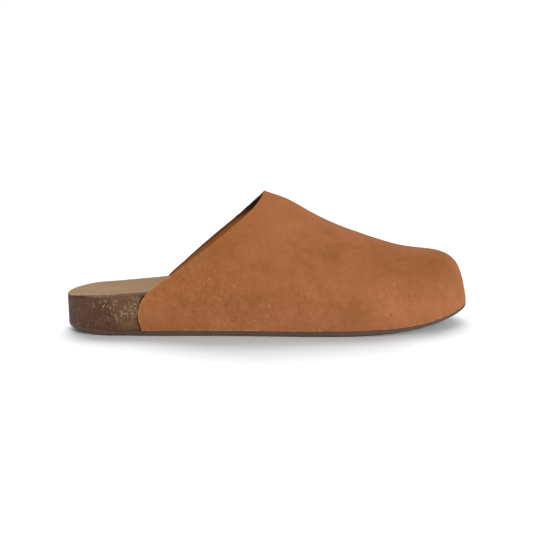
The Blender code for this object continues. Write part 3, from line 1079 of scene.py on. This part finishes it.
under = [ring(INSOLE_TURNS, share, cork_top, tucked) for share in (0.0, 0.5, 1.0)]
lip = rounded(INSOLE_TURNS, footbed, tucked, INSOLE_ROUNDING)
face = [ring(INSOLE_TURNS, share, footbed, tucked, INSOLE_ROUNDING) for share in reversed(INSOLE_SHARES)]
edge = climb(under[-1], lip[0], INSOLE_SIDE_STEPS)
insole = grid_piece("suede_insole", np.stack([*under, *edge, *lip, *face]))
report(insole, "insole")

# %% Face and edge of the insole
# a painted highlight along the insole's lip
LIP_WIDTH, LIP_HIGHLIGHT = 2.0, 0.5
INSOLE_SPECKS = 0.12
SHADED_EDGE_STATIONS = (26.0, 6.0)  # painted shade: stations between which the cut edge darkens towards the back
DEEPEST_EDGE_SHADE = -0.6
# lighter and darker patches in the heel cup: mottling, and painted light and shade of the cup
CUP_PATCHES = (
    "station across radius tone",
    (18, 0, 8, -0.12),
    (33, 5, 6, -0.15),
    (12, -16, 10, 0.16),
    (30, -14, 8, 0.12),
    (46, 8, 6, -0.12),
    (52, 16, 6, -0.12),
)

insole_edge = suede("insole edge", screen(72, 52, 42), screen(154, 120, 94), screen(156, 124, 98))
for finish in (beige_suede, insole_edge):
    insole.data.materials.append(finish)
middles = np.array([polygon.center for polygon in insole.data.polygons]) / MM + MIDDLE
on_rounding = distance_to(lip[0], middles) < INSOLE_ROUNDING * math.sqrt(2)
for polygon, rounding in zip(insole.data.polygons, on_rounding):
    polygon.material_index = int(rounding or polygon.normal.z < UPRIGHT)
places, normals = corners_of(insole)
at_edge = (distance_to(lip[0], places) < INSOLE_ROUNDING) | (normals[:, 2] < UPRIGHT)
# painted shade on the cut edge where the heel rounds away at the back
painted_edge_shade = DEEPEST_EDGE_SHADE * at_edge * ease(places[:, 0], *SHADED_EDGE_STATIONS)
note(insole, "nap_and_painted_light", patches(CUP_PATCHES, places[:, 0], places[:, 1]) + painted_edge_shade)
note(insole, "speckled", np.full(len(places), INSOLE_SPECKS))
# painted highlight along the lip
note(insole, "painted_edge_highlight", LIP_HIGHLIGHT * fade(distance_to(lip[-1], places), LIP_WIDTH))
print("faces of the insole's cut edge:", sum(polygon.material_index for polygon in insole.data.polygons))

# %% [markdown]
# ## Sole sheet
#
# The outsole is a thin sheet of brown rubber. Its side is plain, flush with the cork at the heel and
# with the upper further forward. Underneath, a border runs round a shallow field that carries a fine
# tread of short bars.

# %% The rubber finish
RUBBER_CLOUDS = ((22.0, GRAIN, 0.8), (2.0, FINEST_GRAIN, 0.5))  # size, grain, weight
RUBBER_ROUGHNESS = (0.72, 0.3, 5.0)  # its middle, how much it varies, and the size of its patches
HEEL_STATIONS = (34.0, 64.0)  # before the first it has the cork's colour
TOE_TONE_STATIONS = (150.0, 260.0)  # its own colour before the first, lighter and greyer past the second
RUBBER_PORES = 0.8


def rubber_finish():
    """Dull brown rubber with fine pores, cork-coloured at the heel and lighter and greyer towards the toe.
    """
    material, shader, place = new_finish("brown rubber", {"Specular IOR Level": 0.3})
    tone = mottled(place, RUBBER_CLOUDS)
    station = station_of(place)
    heel = between(tone, screen(74, 55, 45), screen(95, 70, 58))
    clean = between(tone, screen(78, 59, 50), screen(101, 79, 68))
    toe_tone = between(tone, screen(86, 70, 59), screen(114, 93, 77))
    colour = between(over(station, *HEEL_STATIONS), heel, clean)
    plug(shader, "Base Color", between(over(station, *TOE_TONE_STATIONS), colour, toe_tone))
    roughness, varies, patch_size = RUBBER_ROUGHNESS
    plug(shader, "Roughness", roughness + cloud(place, patch_size, FINE_GRAIN) * varies)
    raise_surface(shader, cloud(place, RUBBER_PORES, FINEST_GRAIN), strength=0.3, depth=0.2)
    return material


brown_rubber = rubber_finish()
print(brown_rubber.name, "has", len(brown_rubber.node_tree.nodes), "nodes")

# %% The sole sheet
SHEET_TURNS = np.linspace(0, 1, 361)
SHEET_ROUNDING = 0.5
BORDER = 4.5  # width of the flat border round the tread
TREAD_DEPTH = 0.8
FIELD_SHARES = (0.0, 0.25, 0.5, 0.75, 1.0)
FLARE = (38.0, 62.0)  # stations between which the sole sheet widens from the cork's edge to the upper's


def flared(x):
    """Edge of the sole sheet: the cork's at the heel, the upper's further forward."""
    return flush(x) + OUTSIDE * ease(x, *FLARE)


field_edge = BORDER + TREAD_DEPTH
field = [ring(SHEET_TURNS, share, sheet_low, flared, field_edge, TREAD_DEPTH) for share in FIELD_SHARES]
border = [ring(SHEET_TURNS, 1.0, sheet_low, flared, BORDER)]
bottom_lip = rounded(SHEET_TURNS, sheet_low, flared, SHEET_ROUNDING, up=-1)[::-1]
top = [ring(SHEET_TURNS, share, sheet_top, flared) for share in (1.0, 0.5, 0.0)]
sheet = grid_piece("rubber_outsole", np.stack([*field, *border, *bottom_lip, *top]))
sheet.data.materials.append(brown_rubber)
report(sheet, "outsole")

# %% [markdown]
# ## Things that repeat: a scatter tree
#
# Flecks in the cork, fibres on the cut edges and the bars of the tread are each one small shape
# repeated over a surface. Geometry Nodes place them: points on the faces, one shape on each point with
# a random turn and size, everything made real and given its material. The result is kept as a plain
# mesh, because instances would not survive an export.

# %% Opening, closing and running a tree
def open_tree(name, sizes):
    """An empty geometry tree: returns it and wires of its geometry and of its named sizes."""
    tree = bpy.data.node_groups.new(name, "GeometryNodeTree")
    tree.interface.new_socket("Geometry", in_out="OUTPUT", socket_type="NodeSocketGeometry")
    tree.interface.new_socket("Surface", in_out="INPUT", socket_type="NodeSocketGeometry")
    for size in sizes:
        tree.interface.new_socket(size, in_out="INPUT", socket_type="NodeSocketFloat")
    start = tree.nodes.new("NodeGroupInput")
    return tree, {name: Wire(start.outputs[name]) for name in ("Surface", *sizes)}


def close_tree(tree, instances, material):
    """Makes the instances real, gives them their material and ends the tree."""
    real = instances.node("GeometryNodeRealizeInstances", {}, {"Geometry": instances})
    dressed = real.node("GeometryNodeSetMaterial", {}, {"Geometry": real, "Material": material})
    plug(tree.nodes.new("NodeGroupOutput"), "Geometry", dressed)


def run_tree(tree, name, surface, sizes):
    """A plain mesh of what a tree makes on a copy of a surface, with its sizes set by identifier."""
    piece = new_piece(name, surface.copy())
    modifier = piece.modifiers.new(tree.name, "NODES")
    modifier.node_group = tree
    for socket in tree.interface.items_tree:
        if socket.in_out == "INPUT" and socket.name in sizes:
            modifier[socket.identifier] = sizes[socket.name]
    flatten(piece)
    piece.data.calc_loop_triangles()
    print(f"{name}: {len(piece.data.loop_triangles)} triangles")
    return piece


# %% Random numbers, turns and points
SEED = 7


def random_between(wire, low, high, seed):
    """A random number for each point."""
    values = {"Min_001": low, "Max_001": high, "Seed": seed}
    return wire.node("FunctionNodeRandomValue", {"data_type": "FLOAT"}, values, "Value_001")


def turned(rotation, axis, angle):
    """A rotation followed by a turn about one of its own axes."""
    turn = angle.node("FunctionNodeAxisAngleToRotation", {}, {"Axis": axis, "Angle": angle})
    values = {"Rotation": rotation, "Rotate By": turn}
    return turn.node("FunctionNodeRotateRotation", {"rotation_space": "LOCAL"}, values)


def scatter(surface, density):
    """Points on a surface, and rotations that stand on it and face every way round."""
    scattered = {"Mesh": surface, "Density": density, "Seed": SEED}
    points = surface.node("GeometryNodeDistributePointsOnFaces", {}, scattered, "Points")
    angle = random_between(surface, 0.0, 2 * math.pi, SEED + 1)
    return points, turned(points.also("Rotation"), (0, 0, 1), angle)


# %% [markdown]
# ## Flecks in the cork
#
# Light slivers of bark lie in the pressed cork, pointing every way. They are dense near the upper's
# rear edge and rare at the back of the heel. Painting them in the material would blur them, so each is
# a tiny flattened stone that stands out by a hair. Its tone is stored with it, so that some are bright
# and some nearly drown in the cork.

# %% The fleck finish
FLECK_CLOUD = (0.8, 0.4)  # size, weight


def fleck_finish():
    """Pale bark whose tone differs from fleck to fleck."""
    material, shader, place = new_finish("bark fleck", {"Roughness": 0.85, "Specular IOR Level": 0.25})
    size, weight = FLECK_CLOUD
    tone = stored(place, "tone") + cloud(place, size) * weight
    plug(shader, "Base Color", between(tone, screen(92, 66, 50), screen(172, 142, 110)))
    return material


bark = fleck_finish()
print(bark.name, "has", len(bark.node_tree.nodes), "nodes")

# %% The fleck tree
SHORTEST, NARROWEST = 0.25, 0.4  # of the given length and width
DULLEST = 0.35  # tone of the brightest fleck where there are hardly any others


def fleck_tree(material):
    """Flat slivers on a surface, as dense as the number noted on it says."""
    sizes = ("Flecks per square metre", "Length", "Width", "Thickness")
    tree, given = open_tree("bark flecks", sizes)
    surface = given["Surface"]
    dense = surface.node("GeometryNodeInputNamedAttribute", {"data_type": "FLOAT"}, {"Name": "flecks"})
    points, lie = scatter(surface, dense * given["Flecks per square metre"])
    length = given["Length"] * random_between(surface, SHORTEST, 1.0, SEED + 2)
    width = given["Width"] * random_between(surface, NARROWEST, 1.0, SEED + 3)
    size = length.node("ShaderNodeCombineXYZ", {}, {"X": length, "Y": width, "Z": given["Thickness"]})
    stone = surface.node("GeometryNodeMeshIcoSphere", {}, {"Radius": 0.5, "Subdivisions": 1})
    placed = {"Points": points, "Instance": stone, "Rotation": lie, "Scale": size}
    flecks = points.node("GeometryNodeInstanceOnPoints", {}, placed)
    chance = random_between(surface, 0.0, 1.0, SEED + 4)
    kept = {"Geometry": flecks, "Name": "tone", "Value": chance * (DULLEST + (1 - DULLEST) * dense)}
    toned = flecks.node("GeometryNodeStoreNamedAttribute", {"domain": "INSTANCE"}, kept)
    close_tree(tree, toned, material)
    return tree


bark_flecks = fleck_tree(bark)
print(bark_flecks.name, "has", len(bark_flecks.nodes), "nodes")

# %% The flecks
FLECK_STATIONS = (25.0, 33.0, 50.0, 62.0)  # few before the first, most between the next two, none after
FEW = 0.2
FLECK_HEIGHTS = (5.0, 11.0)  # few under the first, all over the second
CLUMP_SIZE = 6.0
CLUMPS = (0.3, 1.7)  # share of the flecks between clumps and in them
CLUMP_EDGE = (-0.4, 0.4)

places, normals = corners_of(cork)
station = places[:, 0]
slanted = station + WARM_LEAN * (places[:, 2] - WARM_MIDDLE)
dense = FEW + (1 - FEW) * ease(slanted, *FLECK_STATIONS[:2]) * ease(places[:, 2], *FLECK_HEIGHTS)
outside_clumps, in_clumps = CLUMPS
clumped = ease(ripple(places, CLUMP_SIZE, SEED), *CLUMP_EDGE)
dense = dense * (outside_clumps + (in_clumps - outside_clumps) * clumped)
dense = dense * (1 - ease(station, *FLECK_STATIONS[2:])) * (np.abs(normals[:, 2]) < UPRIGHT) * (1 - shadow_and_glue)
note(cork, "flecks", dense)
fleck_sizes = {
    "Flecks per square metre": 240000.0,
    "Length": 4.2 * MM,
    "Width": 0.9 * MM,
    "Thickness": 0.16 * MM,
}
flecks = run_tree(bark_flecks, "cork_flecks", cork.data, fleck_sizes)

# %% [markdown]
# ## Fibres on the cut edges
#
# Where suede is cut, fine fibres stand out of the edge. They grow from the faces of the cut itself, so
# the tree runs on a copy of just those faces. Each fibre is a three-sided spike that leans away from
# the face's normal by a random angle.

# %% The fibre tree
FIBRE_SIDES = 3
SMALLEST = 0.35  # of the given size


def fibre_tree(material):
    """Short leaning spikes on a surface."""
    tree, given = open_tree("cut fibres", ("Fibres per square metre", "Length", "Thickness", "Lean"))
    surface = given["Surface"]
    points, stand = scatter(surface, given["Fibres per square metre"])
    lean = turned(stand, (1, 0, 0), given["Lean"] * random_between(surface, 0.0, 1.0, SEED + 2))
    radii = {"Radius Top": 0.0, "Radius Bottom": given["Thickness"]}
    spike = {"Vertices": FIBRE_SIDES, "Depth": given["Length"], **radii}
    fibre = surface.node("GeometryNodeMeshCone", {"fill_type": "NGON"}, spike)
    size = random_between(surface, SMALLEST, 1.0, SEED + 3)
    placed = {"Points": points, "Instance": fibre, "Rotation": lean, "Scale": size}
    close_tree(tree, points.node("GeometryNodeInstanceOnPoints", {}, placed), material)
    return tree


cut_fibres = fibre_tree(loose_fibre)
print(cut_fibres.name, "has", len(cut_fibres.nodes), "nodes")

# %% The fibres
FACES_UP = -0.3  # cut faces that point further down rest on the sole sheet


def faces_of(piece, keep):
    """A mesh of just those faces of a piece that keep(polygon) picks."""
    data = piece.data.copy()
    mesh = bmesh.new()
    mesh.from_mesh(data)
    mesh.faces.ensure_lookup_table()
    dropped = [mesh.faces[polygon.index] for polygon in data.polygons if not keep(polygon)]
    bmesh.ops.delete(mesh, geom=dropped, context="FACES")
    mesh.to_mesh(data)
    mesh.free()
    return data


cut = faces_of(upper, lambda face: face.material_index == CUT_SLOT and face.normal.z > FACES_UP)
fibre_sizes = {
    "Fibres per square metre": 5.0e6,
    "Length": 0.7 * MM,
    "Thickness": 0.035 * MM,
    "Lean": math.radians(75),
}
fibres = run_tree(cut_fibres, "cut_edge_fibres", cut, fibre_sizes)

# %% [markdown]
# ## Tread
#
# The tread is a field of short bars in staggered rows. A flat grid of points lies under the shoe, a
# ray goes up from each, and the points whose ray meets the field move there. So the rows follow the
# toe spring without being drawn along it. Each bar is a stretched eight-sided stud, hung upside down
# and tilted with the surface.

# %% Points of the tread
TREAD_ROWS, TREAD_BARS = 50, 13
STAGGER = 0.5  # of the spacing of the bars
RAY_START = -20.0 * MM
RAY_LENGTH = 100.0 * MM
SUNK = 0.1 * MM  # how far the bars reach into the sheet


def tread_points(surface, row_spacing, bar_spacing):
    """Points in staggered rows where rays from below meet a surface, with its normal noted on them."""
    across = {"Size X": row_spacing * (TREAD_ROWS - 1.0), "Vertices X": TREAD_ROWS}
    along = {"Size Y": bar_spacing * (TREAD_BARS - 1.0), "Vertices Y": TREAD_BARS}
    points = surface.node("GeometryNodeMeshGrid", {}, {**across, **along})
    index = surface.node("GeometryNodeInputIndex", {}, {})
    row = index.sum("FLOOR", index * (1 / TREAD_BARS), 0.0)
    aside = (row.sum("MODULO", row, 2.0) - 0.5) * STAGGER * bar_spacing
    shift = aside.node("ShaderNodeCombineXYZ", {}, {"Y": aside, "Z": RAY_START})
    points = points.node("GeometryNodeSetPosition", {}, {"Geometry": points, "Offset": shift})
    ray = {"Target Geometry": surface, "Ray Direction": (0, 0, 1), "Ray Length": RAY_LENGTH}
    hit = surface.node("GeometryNodeRaycast", {}, ray, "Is Hit")
    kept = {"Geometry": points, "Name": "slope", "Value": hit.also("Hit Normal")}
    points = points.node("GeometryNodeStoreNamedAttribute", {"data_type": "FLOAT_VECTOR"}, kept)
    missed = hit.node("FunctionNodeBooleanMath", {"operation": "NOT"}, {0: hit})
    points = points.node("GeometryNodeDeleteGeometry", {}, {"Geometry": points, "Selection": missed})
    moved = {"Geometry": points, "Position": hit.also("Hit Position"), "Offset": (0, 0, SUNK)}
    return points.node("GeometryNodeSetPosition", {}, moved)


print("grid for the tread:", TREAD_ROWS, "rows of", TREAD_BARS, "points")

# %% The tread tree
TAPER = 0.8  # width of a bar at its free end
BAR_SIDES = 8


def tread_tree(material):
    """Staggered rows of short bars under a surface."""
    sizes = ("Row spacing", "Bar spacing", "Bar length", "Bar width", "Bar height")
    tree, given = open_tree("tread bars", sizes)
    surface = given["Surface"]
    points = tread_points(surface, given["Row spacing"], given["Bar spacing"])
    radii = {"Radius Top": 0.5 * TAPER, "Radius Bottom": 0.5}
    stud = {"Vertices": BAR_SIDES, "Depth": given["Bar height"], **radii}
    bar = surface.node("GeometryNodeMeshCone", {"fill_type": "NGON"}, stud)
    bar = bar.node("GeometryNodeTransform", {}, {"Geometry": bar, "Rotation": (math.pi, 0, 0)})
    vector = {"data_type": "FLOAT_VECTOR"}
    slope = surface.node("GeometryNodeInputNamedAttribute", vector, {"Name": "slope"})
    upright = slope.node("ShaderNodeSeparateXYZ", {}, {"Vector": slope}, "Z")
    sign = upright.sum("SIGN", upright, 0.0)
    up = slope.node("ShaderNodeVectorMath", {"operation": "SCALE"}, {"Vector": slope, "Scale": sign})
    tilt = up.node("FunctionNodeAlignRotationToVector", {"axis": "Z"}, {"Vector": up})
    flat = {"X": given["Bar width"], "Y": given["Bar length"], "Z": 1.0}
    size = up.node("ShaderNodeCombineXYZ", {}, flat)
    placed = {"Points": points, "Instance": bar, "Rotation": tilt, "Scale": size}
    close_tree(tree, points.node("GeometryNodeInstanceOnPoints", {}, placed), material)
    return tree


rubber_bars = tread_tree(brown_rubber)
print(rubber_bars.name, "has", len(rubber_bars.nodes), "nodes")

# %% The tread
BARS_INSET = 4.6  # from the field's edge to the middle of the outermost bars

tread_inset = BORDER + TREAD_DEPTH + BARS_INSET
patch = [ring(SHEET_TURNS, share, sheet_low, flared, tread_inset, TREAD_DEPTH) for share in FIELD_SHARES]
tread_sizes = {
    "Row spacing": 5.2 * MM,
    "Bar spacing": 10.4 * MM,
    "Bar length": 8.2 * MM,
    "Bar width": 2.6 * MM,
    "Bar height": TREAD_DEPTH * MM + SUNK,
}
tread_patch = grid_mesh("tread field", np.stack(patch))
tread = run_tree(rubber_bars, "tread_bars", tread_patch, tread_sizes)

# %% [markdown]
# ## The studio
#
# The picture is a catalogue one: white all round, soft light from everywhere and a soft shadow on the
# floor. A white world gives the light. A pale floor under it would come out grey, so two wide suns add
# to it, and light linking keeps them off the shoe. Where the shoe hides the one behind it, the floor
# keeps a shadow in front. The low one in front shines in under the toe, which would be black otherwise,
# and a narrow spot lifts the rest of the shadow there.

# %% Floor and world
FLOOR_RADIUS = 8.0  # metres
FLOOR_CORNERS = 64
WHITE = (1.0, 1.0, 1.0, 1.0)
FLOOR_COLOUR = (0.330, 0.334, 0.336, 1.0)  # a little cool, because the shoe's own colour warms its shadow

disc = bmesh.new()
bmesh.ops.create_circle(disc, cap_ends=True, radius=FLOOR_RADIUS, segments=FLOOR_CORNERS)
floor_mesh = bpy.data.meshes.new("floor")
disc.to_mesh(floor_mesh)
disc.free()
floor = new_piece("floor", floor_mesh)
floor.data.materials.append(new_finish("pale floor", {"Roughness": 0.9, "Base Color": FLOOR_COLOUR})[0])

world = bpy.data.worlds.new("white studio")
world.use_nodes = True
plug(world.node_tree.nodes["Background"], "Color", WHITE)
plug(world.node_tree.nodes["Background"], "Strength", 1.0)
bpy.context.scene.world = world
bpy.context.scene.view_settings.view_transform = "Standard"
print("floor of", FLOOR_RADIUS, "metres all round, under a white world")

# %% Lights for the floor
SUNS = (
    "name strength width tilt turn",  # angles in degrees
    ("behind", 8.8, 60, -54, 0),
    ("in_front", 11.0, 20, 82, 30),
)
SPOT_PLACE = Vector((0.20, -0.42, 0.14))  # metres
SPOT_AIM = Vector((0.110, -0.050, 0.0))
SPOT_POWER = 5.0  # watts
SPOT_CONE = math.radians(12)

floor_only = bpy.data.collections.new("lit floor")
floor_only.objects.link(floor)
for name, strength, width, tilt, turn in SUNS[1:]:
    sun = new_piece("sun_" + name, bpy.data.lights.new("sun " + name, "SUN"))
    sun.data.energy = strength
    sun.data.angle = math.radians(width)
    sun.rotation_euler = (math.radians(tilt), 0, math.radians(turn))
    sun.light_linking.receiver_collection = floor_only
spot = new_piece("spot_under_the_toe", bpy.data.lights.new("spot under the toe", "SPOT"))
spot.data.energy = SPOT_POWER
spot.data.spot_size = SPOT_CONE
spot.data.spot_blend = 1.0
spot.location = SPOT_PLACE
spot.rotation_euler = (SPOT_AIM - SPOT_PLACE).to_track_quat("-Z", "Y").to_euler()
spot.visible_camera = False
spot.light_linking.receiver_collection = floor_only
print("lights for the floor alone:", len(SUNS) - 1, "suns and a spot")

# %% [markdown]
# ## The camera
#
# The camera stands on the lateral side, a little over the shoe and a little towards its toe, and is
# rolled by a degree. It looks at a point half way up the shoe. The lens follows from how many pixels a
# millimetre takes there, and the shift from where that point lies in the picture.

# %% The camera
ELEVATION, YAW, ROLL = math.radians(8.3), math.radians(-2.0), math.radians(1.156)
DISTANCE = 1.1  # metres
TARGET = Vector((0, 0, 0.045))
PIXELS = 560
PIXELS_PER_MM = 1.471
TARGET_PIXEL = (266.15, 258.94)

back = Vector((-math.sin(YAW), -math.cos(YAW), math.tan(ELEVATION))).normalized()
right = Vector((math.cos(YAW), -math.sin(YAW), 0))
up = back.cross(right)
x_axis = right * math.cos(ROLL) - up * math.sin(ROLL)
y_axis = right * math.sin(ROLL) + up * math.cos(ROLL)
turn = Matrix((x_axis, y_axis, back)).transposed()
camera = new_piece("camera", bpy.data.cameras.new("camera"))
camera.matrix_world = Matrix.Translation(TARGET + back * DISTANCE) @ turn.to_4x4()
camera.data.lens = PIXELS_PER_MM * DISTANCE / MM / PIXELS * camera.data.sensor_width
camera.data.shift_x = (PIXELS / 2 - TARGET_PIXEL[0]) / PIXELS
camera.data.shift_y = (TARGET_PIXEL[1] - PIXELS / 2) / PIXELS
bpy.context.scene.camera = camera
print("lens:", round(camera.data.lens), "mm")

# %% [markdown]
# ## Handing the shoe over
#
# Nothing on this shoe moves by itself, so every piece rides on the one body. The four main pieces stand
# for their solids, which are hidden. The table also lists the material that each piece belongs to, which
# nothing here reads.

# %% Hand over
PIECES = (
    (upper, "upper", "suede"),
    (cork, "midsole", "cork"),
    (insole, "insole", "insole"),
    (sheet, "outsole", "outsole"),
    (flecks, None, "cork"),
    (fibres, None, "suede"),
    (tread, None, "outsole"),
)
for piece, node, slot in PIECES:
    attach(piece, "root")
    if node:
        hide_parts(node)
